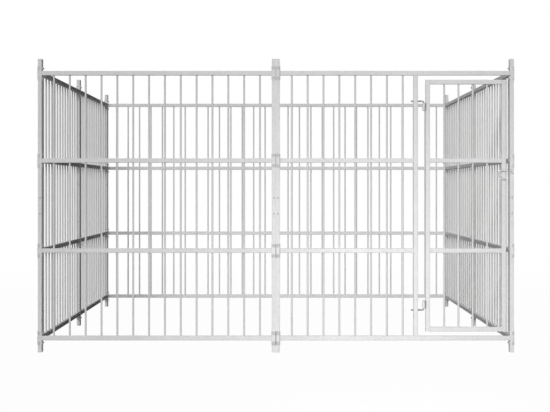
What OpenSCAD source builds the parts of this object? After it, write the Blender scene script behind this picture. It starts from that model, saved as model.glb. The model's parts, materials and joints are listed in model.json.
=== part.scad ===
// Outdoor dog kennel run: eight welded bar panels bolted into a square pen, with a swing door.
// Millimetres, +Z up. The origin is on the ground at the middle of the footprint, and the
// door side faces -Y.

/* [Panels] */
// Width of a front or back panel
panel_w = 1500; // [1300:10:2000]
// Width of a side panel, which stands between the front and back panels
side_w = 1475; // [1000:5:2000]
// Height of a panel from its feet to its caps
panel_h = 1850; // [1600:10:2200]
// Gap between neighbouring panels
panel_gap = 1; // [0.5:0.1:3]

/* [Tubes] */
// Side of the square post tube, and depth of the rail tube
post_w = 25; // [22:0.5:35]
// Height of the rail tube, and width of the jamb and the door's stiles
rail_h = 28; // [22:0.5:35]
// Wall of every tube
tube_wall = 1.5; // [1:0.1:2.5]
// Outside corner radius of every tube
tube_r = 3; // [2.7:0.1:5]
// Distance of the bottom and top rails' centres from the ends of the posts
rail_end = 89.5; // [80:0.5:140]
// Distance of the two middle rails' centres from mid height
mid_rail_offset = 284; // [200:1:380]

/* [Bars] */
// Diameter of a bar
bar_d = 12; // [8:0.5:16]
// Spacing of the bars in a panel
bar_pitch = 100; // [60:1:120]
// Least distance from a panel's edge to its first bar
bar_margin = 60; // [50:1:90]
// Number of bars in the door
door_bar_count = 4; // [2:1:6]
// Length of a bar's end inside its rail
bar_seat = 6; // [3:0.5:12]
// Clearance round a bar in its punched hole
bar_fit = 0.1; // [0.05:0.05:0.5]

/* [End plugs] */
// Thickness of a plug's head
plug_head = 2; // [1:0.5:5]
// Length of a plug's stem
plug_stem = 14; // [8:1:25]
// Wall of a plug's stem
plug_wall = 2; // [1:0.5:3]
// Clearance of a plug's stem in its post
plug_fit = 0.1; // [0.05:0.05:0.4]

/* [Panel joints] */
// Height of a joint plate
plate_h = 88; // [76:1:120]
// Thickness of a joint plate
plate_t = 2; // [1.5:0.1:4]
// Depth of a joint plate's ears along the posts
ear_d = 12; // [6:0.5:20]
// Clearance between an ear and its post
ear_fit = 0.2; // [0.1:0.05:0.5]
// Clearance between a joint plate's ears and a rail
ear_rail_gap = 4; // [1:0.5:8]
// Inside radius of the bends between a joint plate's web and its ears
ear_bend = 1; // [0.5:0.1:2]
// Depth of the bead pressed along the middle of a joint plate
bead_d = 2.4; // [0.5:0.1:2.6]
// Clearance between that bead and the posts' rounded corners
bead_fit = 0.2; // [0.1:0.05:0.5]
// Distance of the bolt rows above and below a rail's centre
bolt_row = 32; // [28:1:36]
// Diameter of a joint bolt
bolt_d = 6; // [5:0.5:8]
// Diameter of the drilled holes for the joint bolts
hole_d = 7; // [6.5:0.1:9]
// Diameter of a joint bolt's round head
head_d = 16; // [11:0.5:18]
// Height of a joint bolt's round head
head_h = 2.6; // [1.5:0.1:4]
// Diameter of a washer
washer_d = 18; // [13:0.5:19]
// Thickness of a washer
washer_t = 1.6; // [1:0.1:3]
// Width across the flats of a joint nut
nut_af = 10; // [9:0.5:13]
// Height of a joint nut
nut_h = 5; // [4:0.5:8]
// Length of a bolt's thread past its nut
bolt_past = 2; // [0:0.5:6]
// Clearance of a thread in a nut or washer
thread_fit = 0.1; // [0.05:0.05:0.3]

/* [Door] */
// Distance of the jamb's centre from the left edge of the door panel
jamb_x = 881; // [700:1:950]
// Gap between the jamb and the door, bridged by the hinge hooks
hinge_gap = 48; // [44:0.5:60]
// Gap between the door and the post on the latch side
latch_gap = 24; // [20:0.5:40]
// Gap above and below the door
door_gap = 28; // [10:0.5:50]

/* [Hinges] */
// Distance of a hinge hook from the door's top or bottom
hinge_inset = 135; // [100:1:300]
// Diameter of a hook's rod
hook_d = 10; // [8:0.5:11]
// Bend radius of a hook at the middle of its rod
hook_bend = 12.5; // [11:0.5:18]
// Outside diameter of a hinge sleeve
sleeve_d = 20; // [16:0.5:24]
// Length of a hinge sleeve
sleeve_l = 45; // [30:1:70]
// Space between a sleeve and its hook's bend
sleeve_space = 0.5; // [0.3:0.1:2]
// Weld gap between a sleeve and its stile
weld_gap = 0.1; // [0.05:0.05:0.5]
// Radial running clearance of a hook in its sleeve
pin_fit = 0.05; // [0.02:0.01:0.1]
// Length of a hook's pin past its sleeve
pin_past = 3; // [0:0.5:10]
// Diameter of a rivet nut's barrel
hook_nut_d = 13; // [12.5:0.5:15]
// Length of a rivet nut's barrel inside the jamb
hook_nut_l = 15; // [10:0.5:20]
// Diameter of a rivet nut's rim
rim_d = 17; // [16:0.5:20]
// Thickness of a rivet nut's rim
rim_t = 1; // [0.5:0.1:2]
// Length of the bulge that holds a rivet nut behind the jamb's wall
bulge_l = 4; // [2:0.5:6]
// Clearance of a rivet nut in the jamb's wall
hook_nut_fit = 0.1; // [0.05:0.05:0.3]
// Length of a hook's thread past the jamb
hook_past = 15; // [5:0.5:20]
// Clearance of a hook in the jamb's far wall
hook_fit = 0.25; // [0.1:0.05:0.5]

/* [Latch] */
// Height of the latch's middle above the ground
latch_z = 1121; // [1085:1:1128]
// Distance between the two legs of the sliding bolt
leg_spacing = 50; // [44:1:60]
// Diameter of the sliding bolt's rod
latch_rod_d = 10; // [8:0.5:11]
// Bend radius of the sliding bolt at the middle of its rod
latch_bend = 8; // [7:0.5:12]
// Travel of the sliding bolt from drawn back to locked
latch_travel = 28; // [24:1:34]
// Length of the bolt's tip past the door's edge when it is drawn back
tip_out = 7.5; // [2:0.5:12]
// Length of a staple along the bolt
staple_l = 6; // [4:0.5:7]
// Thickness of a staple's wall
staple_wall = 2.5; // [1.5:0.1:4]
// Clearance of the bolt in its guide staples
guide_fit = 0.3; // [0.2:0.05:0.6]
// Clearance of the bolt in the keeper staple
keeper_fit = 1; // [0.5:0.1:2]
// Distance of the keeper staple from the post's edge
keeper_inset = 1.5; // [0.5:0.5:4]
// Thickness of the latch plate and the keeper plate
latch_plate_t = 3; // [2:0.5:5]
// Height of the latch plate
latch_plate_h = 80; // [72:1:100]
// Height of the keeper plate
keeper_plate_h = 34; // [24:1:36]
// Length of the padlock ear past the latch plate's edge
lock_ear_l = 17; // [14:0.5:19]
// Height of the padlock ear
lock_ear_h = 18; // [14:0.5:20]
// Diameter of the padlock hole
lock_hole_d = 9; // [6:0.5:10]
// Diameter of the stop collar on the bolt's lower leg
collar_d = 14; // [13:0.5:16]
// Length of the stop collar
collar_l = 4; // [2:0.5:5]
// Space between the stop collar and its staple when the bolt is drawn back
collar_space = 0.5; // [0.3:0.1:1]

/* [Hidden] */
$fn = 48;
steel = [0.79, 0.80, 0.81];
zinc = [0.68, 0.69, 0.70];
plastic = [0.52, 0.53, 0.54];

// Length by which a cutter passes the faces that it cuts
cut = 1;

// The pen's half width and half depth, and the middle planes of its panels
half_w = panel_w + panel_gap / 2;
half_d = side_w + 1.5 * panel_gap + post_w;
front_y = half_d - post_w / 2;
side_x = half_w - post_w / 2;
corner_y = side_w + panel_gap;

// Centre heights of the four rails, bottom to top
rail_z = [rail_end, panel_h / 2 - mid_rail_offset, panel_h / 2 + mid_rail_offset, panel_h - rail_end];
bar_z0 = rail_z[0] + rail_h / 2 - bar_seat;
bar_z1 = rail_z[3] - rail_h / 2 + bar_seat;

// Centre distances of a panel's bars from its left edge, with equal margins at both ends
function bar_count(w) = floor((w - 2 * bar_margin) / bar_pitch) + 1;
function bar_xs(w) = [
    for (i = [0 : bar_count(w) - 1]) (w - (bar_count(w) - 1) * bar_pitch) / 2 + i * bar_pitch
];

// The door panel, measured from its left edge
jamb_l = jamb_x - rail_h / 2;
jamb_r = jamb_x + rail_h / 2;
door_l = jamb_r + hinge_gap;
door_r = panel_w - post_w - latch_gap;
door_z0 = rail_z[0] + rail_h / 2 + door_gap;
door_z1 = rail_z[3] - rail_h / 2 - door_gap;
door_panel_bar_xs = [for (x = bar_xs(panel_w)) if (x < jamb_l - bar_d) x];
door_rail_z = [door_z0 + rail_h / 2, rail_z[1], rail_z[2], door_z1 - rail_h / 2];
door_bar_pitch = (door_r - door_l - 2 * rail_h) / (door_bar_count + 1);
door_bar_xs = [for (i = [1 : door_bar_count]) door_l + rail_h + i * door_bar_pitch];

// The hinge axis and the heights of the two hooks
hinge_x = door_l - weld_gap - sleeve_d / 2;
hook_z = [door_z0 + hinge_inset, door_z1 - hinge_inset];
sleeve_start = hook_bend + sleeve_space;

// The latch: depth of its rod before the panel's middle plane, and places along X and Z
face_y = -post_w / 2;
latch_face_y = face_y - latch_plate_t;
rod_out = guide_fit + latch_rod_d / 2;
rod_y = latch_face_y - rod_out;
leg_z = [latch_z - leg_spacing / 2, latch_z + leg_spacing / 2];
collar_x = door_r - collar_l;
guide_x = collar_x - collar_space - staple_l;
handle_x = guide_x - collar_space - latch_travel - latch_bend;
tip_x = door_r + tip_out;
keeper_x = panel_w - post_w + keeper_inset;

// Places along a side of the pen where two posts meet
side_seams = [-corner_y, 0, corner_y];
post_step = post_w + panel_gap;
ear_x = post_step / 2 + post_w / 2 + ear_fit;

// Sections and tubes

module rounded(w, h, r) {
    square([w - 2 * r, h], center = true);
    square([w, h - 2 * r], center = true);
    for (x = [-1, 1], y = [-1, 1])
        translate([x * (w / 2 - r), y * (h / 2 - r)]) circle(r);
}

module tube_bore(w, h, fit = 0) {
    rounded(w - 2 * (tube_wall + fit), h - 2 * (tube_wall + fit), tube_r - tube_wall - fit);
}

module tube_section(w, h) {
    difference() {
        rounded(w, h, tube_r);
        tube_bore(w, h);
    }
}

// Turns a section drawn in XY and pulled up Z to one drawn in YZ and pulled along X
module along_x() {
    rotate([90, 0, 90]) children();
}

// Upright tube of a panel, with the holes for its joint bolts drilled at the given turn
module post(turn) {
    difference() {
        translate([0, 0, plug_head])
            linear_extrude(panel_h - 2 * plug_head) tube_section(post_w, post_w);
        for (z = rail_z, row = [-1, 1])
            translate([0, 0, z + row * bolt_row]) rotate([90, 0, turn])
                cylinder(d = hole_d, h = post_w + 2 * cut, center = true);
    }
}

// Level tube from x0 to x1, punched for its bars through the walls above and below its centre
module rail(x0, x1, z, xs, above = true, below = true) {
    translate([0, 0, z])
        difference() {
            translate([x0, 0, 0]) along_x() linear_extrude(x1 - x0) tube_section(post_w, rail_h);
            for (x = xs)
                translate([x, 0, below ? -rail_h : 0])
                    cylinder(d = bar_d + 2 * bar_fit, h = (above && below ? 2 : 1) * rail_h);
        }
}

// Upright tube as wide as a rail is high, used for the jamb and the door's stiles
module upright(x, z0, z1) {
    translate([x, 0, z0]) linear_extrude(z1 - z0) tube_section(rail_h, post_w);
}

module bars(xs, z0, z1) {
    for (x = xs)
        translate([x, 0, z0]) cylinder(d = bar_d, h = z1 - z0);
}

// Panels, drawn from their left edge with the middle plane at y = 0

module panel_posts(w, left_turn, right_turn) {
    translate([post_w / 2, 0, 0]) post(left_turn);
    translate([w - post_w / 2, 0, 0]) post(right_turn);
}

module panel_rails(w) {
    rail(post_w, w - post_w, rail_z[0], bar_xs(w), below = false);
    for (z = [rail_z[1], rail_z[2]])
        rail(post_w, w - post_w, z, bar_xs(w));
    rail(post_w, w - post_w, rail_z[3], bar_xs(w), above = false);
}

module panel_bars(w) {
    bars(bar_xs(w), bar_z0, bar_z1);
}

module at_front_left() {
    translate([-half_w, -front_y, 0]) children();
}

module at_front_right() {
    translate([panel_gap / 2, -front_y, 0]) children();
}

module at_back_left() {
    translate([-half_w, front_y, 0]) children();
}

module at_back_right() {
    translate([panel_gap / 2, front_y, 0]) children();
}

// A side panel runs from its front edge towards the back
module at_side(side, y) {
    translate([side * side_x, y, 0]) rotate([0, 0, 90]) children();
}

module at_side_front(side) {
    at_side(side, -side_w - panel_gap / 2) children();
}

module at_side_back(side) {
    at_side(side, panel_gap / 2) children();
}

module front_left_posts() {
    color(steel) at_front_left() panel_posts(panel_w, 90, 0);
}

module front_left_rails() {
    color(steel) at_front_left() panel_rails(panel_w);
}

module front_left_bars() {
    color(steel) at_front_left() panel_bars(panel_w);
}

module front_right_posts() {
    color(steel) at_front_right() panel_posts(panel_w, 0, 90);
}

// The door panel's middle rails end at the jamb
module front_right_rails() {
    color(steel) at_front_right() {
        rail(post_w, panel_w - post_w, rail_z[0], door_panel_bar_xs, below = false);
        for (z = [rail_z[1], rail_z[2]])
            rail(post_w, jamb_l, z, door_panel_bar_xs);
        rail(post_w, panel_w - post_w, rail_z[3], door_panel_bar_xs, above = false);
    }
}

module front_right_bars() {
    color(steel) at_front_right() bars(door_panel_bar_xs, bar_z0, bar_z1);
}

module back_left_posts() {
    color(steel) at_back_left() panel_posts(panel_w, 90, 0);
}

module back_left_rails() {
    color(steel) at_back_left() panel_rails(panel_w);
}

module back_left_bars() {
    color(steel) at_back_left() panel_bars(panel_w);
}

module back_right_posts() {
    color(steel) at_back_right() panel_posts(panel_w, 0, 90);
}

module back_right_rails() {
    color(steel) at_back_right() panel_rails(panel_w);
}

module back_right_bars() {
    color(steel) at_back_right() panel_bars(panel_w);
}

module left_front_posts() {
    color(steel) at_side_front(-1) panel_posts(side_w, 0, 0);
}

module left_front_rails() {
    color(steel) at_side_front(-1) panel_rails(side_w);
}

module left_front_bars() {
    color(steel) at_side_front(-1) panel_bars(side_w);
}

module left_back_posts() {
    color(steel) at_side_back(-1) panel_posts(side_w, 0, 0);
}

module left_back_rails() {
    color(steel) at_side_back(-1) panel_rails(side_w);
}

module left_back_bars() {
    color(steel) at_side_back(-1) panel_bars(side_w);
}

module right_front_posts() {
    color(steel) at_side_front(1) panel_posts(side_w, 0, 0);
}

module right_front_rails() {
    color(steel) at_side_front(1) panel_rails(side_w);
}

module right_front_bars() {
    color(steel) at_side_front(1) panel_bars(side_w);
}

module right_back_posts() {
    color(steel) at_side_back(1) panel_posts(side_w, 0, 0);
}

module right_back_rails() {
    color(steel) at_side_back(1) panel_rails(side_w);
}

module right_back_bars() {
    color(steel) at_side_back(1) panel_bars(side_w);
}

// End plugs

module at_every_post() {
    for (x = [-1, 1], y = [-1, 1]) {
        translate([x * side_x, y * front_y, 0]) children();
        translate([x * post_step / 2, y * front_y, 0]) children();
        translate([x * side_x, y * post_step / 2, 0]) children();
        translate([x * side_x, y * (corner_y - post_step / 2), 0]) children();
    }
}

// Push-in plug with its head below and its hollow stem above
module plug() {
    linear_extrude(plug_head) rounded(post_w, post_w, tube_r);
    translate([0, 0, plug_head])
        linear_extrude(plug_stem)
            difference() {
                tube_bore(post_w, post_w, plug_fit);
                square(post_w - 2 * (tube_wall + plug_fit + plug_wall), center = true);
            }
}

module post_caps() {
    color(plastic) at_every_post() translate([0, 0, panel_h]) mirror([0, 0, 1]) plug();
}

module post_feet() {
    color(plastic) at_every_post() plug();
}

// Panel joints, drawn with the posts' outer faces at y = 0, outward along -Y and the seam at x = 0

module at_joints(seams, turn) {
    for (seam = seams, z = rail_z)
        translate([seam[0], seam[1], z]) rotate([0, 0, turn]) children();
}

module at_front_joints() {
    at_joints([[0, -half_d]], 0) children();
}

module at_back_joints() {
    at_joints([[0, half_d]], 180) children();
}

module at_left_joints() {
    at_joints([for (y = side_seams) [-half_w, y]], -90) children();
}

module at_right_joints() {
    at_joints([for (y = side_seams) [half_w, y]], 90) children();
}

// Each of a joint's four bolt places, with the bolt's axis turned to +Z and its head end below
module at_joint_bolts() {
    for (x = [-1, 1], row = [-1, 1])
        translate([x * post_step / 2, 0, row * bolt_row]) rotate([-90, 0, 0]) children();
}

// Channel from y = -out to the ears' ends, with the two corners of its web rounded
module channel(out, r) {
    half = ear_x + out;
    translate([-half, r - out]) square([2 * half, ear_d - r + out]);
    translate([r - half, -out]) square([2 * (half - r), 2 * r]);
    for (x = [-1, 1])
        translate([x * (half - r), r - out]) circle(r);
}

// Bead that follows the valley between two posts' rounded corners, from y = 0 down to its depth
module bead() {
    valley = panel_gap / 2 + tube_r;
    difference() {
        translate([-valley, 0]) square([2 * valley, bead_d]);
        for (x = [-1, 1])
            translate([x * valley, tube_r]) circle(tube_r + bead_fit);
    }
}

// Saddle section: a web over both posts, an ear bent down each side and a bead pressed into the seam
module plate_section() {
    difference() {
        union() {
            difference() {
                channel(plate_t, ear_bend + plate_t);
                channel(0, ear_bend);
                translate([-ear_x, ear_d / 2]) square([2 * ear_x, ear_d]);
            }
            bead();
        }
        translate([0, -plate_t]) bead();
    }
}

module joint_plate() {
    notch = [plate_t + 2 * ear_fit, ear_d + cut, rail_h + 2 * ear_rail_gap];
    difference() {
        linear_extrude(plate_h, center = true) plate_section();
        for (x = [-1, 1])
            translate([x * (ear_x + plate_t / 2), notch[1] / 2, 0]) cube(notch, center = true);
        at_joint_bolts() translate([0, 0, -plate_t - cut]) cylinder(d = hole_d, h = plate_t + 2 * cut);
    }
}

// Round-headed bolt through plate, post, washer and nut, with the head's seat at z = -plate_t
module joint_bolt() {
    dome_r = (pow(head_d / 2, 2) + pow(head_h, 2)) / (2 * head_h);
    length = plate_t + post_w + washer_t + nut_h + bolt_past;
    translate([0, 0, -plate_t])
        rotate_extrude() {
            square([bolt_d / 2, length]);
            intersection() {
                translate([0, dome_r - head_h]) circle(dome_r);
                translate([0, -head_h]) square([head_d / 2, head_h]);
            }
        }
}

module joint_washer() {
    translate([0, 0, post_w])
        difference() {
            cylinder(d = washer_d, h = washer_t);
            translate([0, 0, -cut]) cylinder(d = bolt_d + 2 * thread_fit, h = washer_t + 2 * cut);
        }
}

module hex_nut(af, h, bore) {
    difference() {
        cylinder(d = af / cos(30), h = h, $fn = 6);
        translate([0, 0, -cut]) cylinder(d = bore, h = h + 2 * cut);
    }
}

module joint_nut() {
    translate([0, 0, post_w + washer_t]) hex_nut(nut_af, nut_h, bolt_d + 2 * thread_fit);
}

module front_joint_plates() {
    color(steel) at_front_joints() joint_plate();
}

module front_joint_bolts() {
    color(zinc) at_front_joints() at_joint_bolts() joint_bolt();
}

module front_joint_washers() {
    color(zinc) at_front_joints() at_joint_bolts() joint_washer();
}

module front_joint_nuts() {
    color(zinc) at_front_joints() at_joint_bolts() joint_nut();
}

module back_joint_plates() {
    color(steel) at_back_joints() joint_plate();
}

module back_joint_bolts() {
    color(zinc) at_back_joints() at_joint_bolts() joint_bolt();
}

module back_joint_washers() {
    color(zinc) at_back_joints() at_joint_bolts() joint_washer();
}

module back_joint_nuts() {
    color(zinc) at_back_joints() at_joint_bolts() joint_nut();
}

module left_joint_plates() {
    color(steel) at_left_joints() joint_plate();
}

module left_joint_bolts() {
    color(zinc) at_left_joints() at_joint_bolts() joint_bolt();
}

module left_joint_washers() {
    color(zinc) at_left_joints() at_joint_bolts() joint_washer();
}

module left_joint_nuts() {
    color(zinc) at_left_joints() at_joint_bolts() joint_nut();
}

module right_joint_plates() {
    color(steel) at_right_joints() joint_plate();
}

module right_joint_bolts() {
    color(zinc) at_right_joints() at_joint_bolts() joint_bolt();
}

module right_joint_washers() {
    color(zinc) at_right_joints() at_joint_bolts() joint_washer();
}

module right_joint_nuts() {
    color(zinc) at_right_joints() at_joint_bolts() joint_nut();
}

// Door jamb and hinges

// Lays a round drawn up the Z axis along X at the given height
module along_rod(z) {
    translate([0, 0, z]) rotate([0, 90, 0]) children();
}

module door_jamb() {
    color(steel) at_front_right()
        difference() {
            upright(jamb_x, rail_z[0] + rail_h / 2, rail_z[3] - rail_h / 2);
            for (z = hook_z) {
                translate([jamb_l - cut, 0, 0]) along_rod(z)
                    cylinder(d = hook_d + 2 * hook_fit, h = rail_h / 2 + cut);
                translate([jamb_x, 0, 0]) along_rod(z)
                    cylinder(d = hook_nut_d + 2 * hook_nut_fit, h = rail_h / 2 + cut);
            }
        }
}

// Quarter bend of round rod, from +X round to +Z about the Y axis
module rod_bend(d, bend) {
    rotate([90, 0, 0]) rotate_extrude(angle = 90) translate([bend, 0]) circle(d = d);
}

// Hook with its thread along X at z = 0 and its pin hanging down along the hinge axis
module hinge_hook() {
    x0 = jamb_l - hook_past;
    x1 = hinge_x - hook_bend;
    pin_l = sleeve_space + sleeve_l + pin_past;
    translate([x0, 0, 0]) along_rod(0) cylinder(d = hook_d, h = x1 - x0);
    translate([x1, 0, -hook_bend]) rod_bend(hook_d, hook_bend);
    translate([hinge_x, 0, -hook_bend - pin_l]) cylinder(d = hook_d, h = pin_l);
}

// The upper hook points down and the lower one up, so the door can't be lifted off
module hinge_hooks() {
    color(zinc) at_front_right() {
        translate([0, 0, hook_z[0]]) mirror([0, 0, 1]) hinge_hook();
        translate([0, 0, hook_z[1]]) hinge_hook();
    }
}

// Rivet nut in the wall at z = 0, with its rim above and its upset barrel below
module rivet_nut() {
    bore_r = hook_d / 2 + thread_fit;
    bulge_z = -tube_wall - hook_nut_fit;
    rotate_extrude() {
        translate([bore_r, 0]) square([rim_d / 2 - bore_r, rim_t]);
        translate([bore_r, -hook_nut_l]) square([hook_nut_d / 2 - bore_r, hook_nut_l]);
        translate([bore_r, bulge_z - bulge_l]) square([rim_d / 2 - bore_r, bulge_l]);
    }
}

module hook_nuts() {
    color(zinc) at_front_right()
        for (z = hook_z)
            translate([jamb_r, 0, 0]) along_rod(z) rivet_nut();
}

module hinge_sleeve(z) {
    translate([hinge_x, 0, z])
        difference() {
            cylinder(d = sleeve_d, h = sleeve_l);
            translate([0, 0, -cut]) cylinder(d = hook_d + 2 * pin_fit, h = sleeve_l + 2 * cut);
        }
}

module hinge_sleeves() {
    color(steel) at_front_right() {
        hinge_sleeve(hook_z[0] + sleeve_start);
        hinge_sleeve(hook_z[1] - sleeve_start - sleeve_l);
    }
}

// Door

module door_stiles() {
    color(steel) at_front_right()
        for (x = [door_l + rail_h / 2, door_r - rail_h / 2])
            upright(x, door_z0, door_z1);
}

module door_rails() {
    x0 = door_l + rail_h;
    x1 = door_r - rail_h;
    color(steel) at_front_right() {
        rail(x0, x1, door_rail_z[0], door_bar_xs, below = false);
        for (z = [door_rail_z[1], door_rail_z[2]])
            rail(x0, x1, z, door_bar_xs);
        rail(x0, x1, door_rail_z[3], door_bar_xs, above = false);
    }
}

module door_bars() {
    color(steel) at_front_right()
        bars(door_bar_xs, door_z0 + rail_h - bar_seat, door_z1 - rail_h + bar_seat);
}

// Latch

// Plate on the latch-side stile, short of the stop collar, with an ear whose hole takes a padlock
module latch_plate() {
    plate_x = door_r - rail_h;
    plate_w = collar_x - collar_space - plate_x;
    lock_x = plate_x - lock_ear_l + lock_ear_h / 2;
    color(steel) at_front_right()
        translate([0, face_y, latch_z]) rotate([90, 0, 0])
            linear_extrude(latch_plate_t)
                difference() {
                    union() {
                        translate([plate_x, -latch_plate_h / 2]) square([plate_w, latch_plate_h]);
                        translate([lock_x, -lock_ear_h / 2]) square([plate_x - lock_x, lock_ear_h]);
                        translate([lock_x, 0]) circle(d = lock_ear_h);
                    }
                    translate([lock_x, 0]) circle(d = lock_hole_d);
                }
}

// Staple over a rod, standing on a plate's face at y = 0 and drawn from x = 0
module staple(fit) {
    inner_r = latch_rod_d / 2 + fit;
    outer_r = inner_r + staple_wall;
    along_x()
        linear_extrude(staple_l)
            difference() {
                union() {
                    translate([-rod_out, 0]) circle(outer_r);
                    translate([-rod_out, -outer_r]) square([rod_out, 2 * outer_r]);
                }
                translate([-rod_out, 0]) circle(inner_r);
                translate([-rod_out, -inner_r]) square([rod_out + cut, 2 * inner_r]);
                translate([0, -outer_r - cut]) square([outer_r, 2 * (outer_r + cut)]);
            }
}

module latch_guides() {
    color(steel) at_front_right()
        for (z = leg_z)
            translate([guide_x, latch_face_y, z]) staple(guide_fit);
}

// Bent rod: the upper leg locks, the lower one guides, and the bend between them is the handle
module latch_bolt() {
    leg_x = handle_x + latch_bend;
    color(zinc) at_front_right()
        translate([0, rod_y, 0]) {
            translate([leg_x, 0, 0]) along_rod(leg_z[1]) cylinder(d = latch_rod_d, h = tip_x - leg_x);
            translate([leg_x, 0, leg_z[1] - latch_bend]) rotate([0, -90, 0]) rod_bend(latch_rod_d, latch_bend);
            translate([handle_x, 0, leg_z[0] + latch_bend])
                cylinder(d = latch_rod_d, h = leg_spacing - 2 * latch_bend);
            translate([leg_x, 0, leg_z[0] + latch_bend]) rotate([0, 180, 0]) rod_bend(latch_rod_d, latch_bend);
            translate([leg_x, 0, 0]) along_rod(leg_z[0]) cylinder(d = latch_rod_d, h = door_r - leg_x);
            translate([collar_x, 0, 0]) along_rod(leg_z[0]) cylinder(d = collar_d, h = collar_l);
        }
}

module keeper_plate() {
    color(steel) at_front_right()
        translate([panel_w - post_w, latch_face_y, leg_z[1] - keeper_plate_h / 2])
            cube([post_w, latch_plate_t, keeper_plate_h]);
}

module keeper_staple() {
    color(steel) at_front_right()
        translate([keeper_x, latch_face_y, leg_z[1]]) staple(keeper_fit);
}

front_left_posts();
front_left_rails();
front_left_bars();
front_right_posts();
front_right_rails();
front_right_bars();
back_left_posts();
back_left_rails();
back_left_bars();
back_right_posts();
back_right_rails();
back_right_bars();
left_front_posts();
left_front_rails();
left_front_bars();
left_back_posts();
left_back_rails();
left_back_bars();
right_front_posts();
right_front_rails();
right_front_bars();
right_back_posts();
right_back_rails();
right_back_bars();
post_caps();
post_feet();
front_joint_plates();
front_joint_bolts();
front_joint_washers();
front_joint_nuts();
back_joint_plates();
back_joint_bolts();
back_joint_washers();
back_joint_nuts();
left_joint_plates();
left_joint_bolts();
left_joint_washers();
left_joint_nuts();
right_joint_plates();
right_joint_bolts();
right_joint_washers();
right_joint_nuts();
door_jamb();
hinge_hooks();
hook_nuts();
door_stiles();
door_rails();
door_bars();
hinge_sleeves();
latch_plate();
latch_guides();
latch_bolt();
keeper_plate();
keeper_staple();
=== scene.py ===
"""Finishes, welds, threads, hole plugs and studio for a bolted dog kennel run."""

import json
import math
import random
from functools import partial

import bmesh
import bpy
from bpy.props import FloatProperty, FloatVectorProperty, PointerProperty
from bpy.types import NodeSocket, Operator, Panel, PropertyGroup
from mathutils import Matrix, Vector

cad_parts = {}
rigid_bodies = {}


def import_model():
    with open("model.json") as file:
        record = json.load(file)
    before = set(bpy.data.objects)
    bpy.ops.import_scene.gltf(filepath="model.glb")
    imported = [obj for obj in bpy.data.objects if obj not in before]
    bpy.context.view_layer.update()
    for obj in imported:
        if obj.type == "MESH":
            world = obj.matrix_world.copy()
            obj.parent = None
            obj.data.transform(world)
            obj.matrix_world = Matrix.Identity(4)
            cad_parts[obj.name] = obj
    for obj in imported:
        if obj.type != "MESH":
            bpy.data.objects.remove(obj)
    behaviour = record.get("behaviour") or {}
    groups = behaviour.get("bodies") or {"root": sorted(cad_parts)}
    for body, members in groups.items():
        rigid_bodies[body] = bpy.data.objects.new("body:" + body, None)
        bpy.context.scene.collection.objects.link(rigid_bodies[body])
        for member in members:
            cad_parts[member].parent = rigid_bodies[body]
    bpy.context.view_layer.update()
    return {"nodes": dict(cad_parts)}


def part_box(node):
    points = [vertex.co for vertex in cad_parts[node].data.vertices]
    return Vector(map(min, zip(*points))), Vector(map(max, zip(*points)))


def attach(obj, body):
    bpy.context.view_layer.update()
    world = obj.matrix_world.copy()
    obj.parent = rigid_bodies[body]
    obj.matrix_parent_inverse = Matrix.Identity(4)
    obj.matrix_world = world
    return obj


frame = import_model()

bl_info = {
    "name": "Dog kennel run looks",
    "version": (1, 0, 0),
    "blender": (4, 5, 0),
    "location": "3D View > Sidebar > Kennel",
    "description": "Dresses the packed kennel run and sets it in a white studio",
    "category": "Object",
}

MM = 0.001
X, Y, Z = Vector((1, 0, 0)), Vector((0, 1, 0)), Vector((0, 0, 1))

# Sizes of the part's source that a node's box doesn't give, in metres.
POST = 0.025
RAIL_HIGH = 0.028
TUBE_CORNER = 0.003
RAIL_HEIGHTS = (0.0895, 0.641, 1.209, 1.7605)
DOOR_RAIL_HEIGHTS = (0.1455, 0.641, 1.209, 1.7045)
SEAM_TO_POST = 0.013
SEAM_STEP = 1.476
SIDE_SEAMS = (-SEAM_STEP, 0.0, SEAM_STEP)
BOLT_ROW = 0.032
BOLT_RADIUS = 0.003
BOLT_PAST_NUT = 0.002
HOOK_RADIUS = 0.005
HOOK_BEND = 0.0125
FACE_HOLE_RISE = 0.050
EDGE_HOLE_RISE = 0.140
SLEEVE_TALL = 0.045

# Radii of the straight weld beads, and how far they stop short of an edge.
SLEEVE_BEAD = 2.0 * MM
LATCH_BEAD = 1.8 * MM
KEEPER_BEAD = 1.5 * MM
SLEEVE_BEAD_INSET = 2 * MM
PLATE_BEAD_INSET = 3 * MM

PANELS = (
    "front_left", "front_right", "back_left", "back_right",
    "left_front", "left_back", "right_front", "right_back",
)
# Starts of the names of pieces that a lamp is kept to or off.
SIDE_RAILS = ("left_front_rails", "left_back_rails", "right_front_rails", "right_back_rails")
RIGHT_SIDE = ("right_", "front_right_posts", "back_right_posts", "post_")
BACK_SIDE = ("back_",)

# Places of the lamps, the points that they face and the sizes of their panes, in metres.
PEN_MIDDLE = Vector((0, 0, 0.9))
KEY_PLACE = Vector((-4.2, -18.5, 13.1))
SIDE_PLACE = Vector((-14.4, -12.1, 10.0))
FILL_PLACE, FILL_AIM = Vector((0.6, -3.6, 0.4)), Vector((0.6, 0, 0.4))
BACK_PLACE = Vector((-4.5, 18.2, 7.7))
RIGHT_PLACE = Vector((9.5, 1.5, 4.0))
LOW_PLACE, LOW_AIM = Vector((-0.2, 0.3, 0.25)), Vector((-0.2, 1.5, 0.25))
LARGE_PANE, FILL_PANE, LOW_PANE = 6, 0.8, (2.8, 0.3)
FAR_LAMP_SPREAD = math.radians(15)

# Sideways and upward shift that frame the picture, as shares of its width.
CAMERA_SHIFT = (-0.0059, -0.0327)


def linear(code):
    """The linear colour of an sRGB hex value."""
    parts = [int(code[i:i + 2], 16) / 255 for i in (1, 3, 5)]
    return [c / 12.92 if c <= 0.04045 else ((c + 0.055) / 1.055) ** 2.4 for c in parts]


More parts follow.
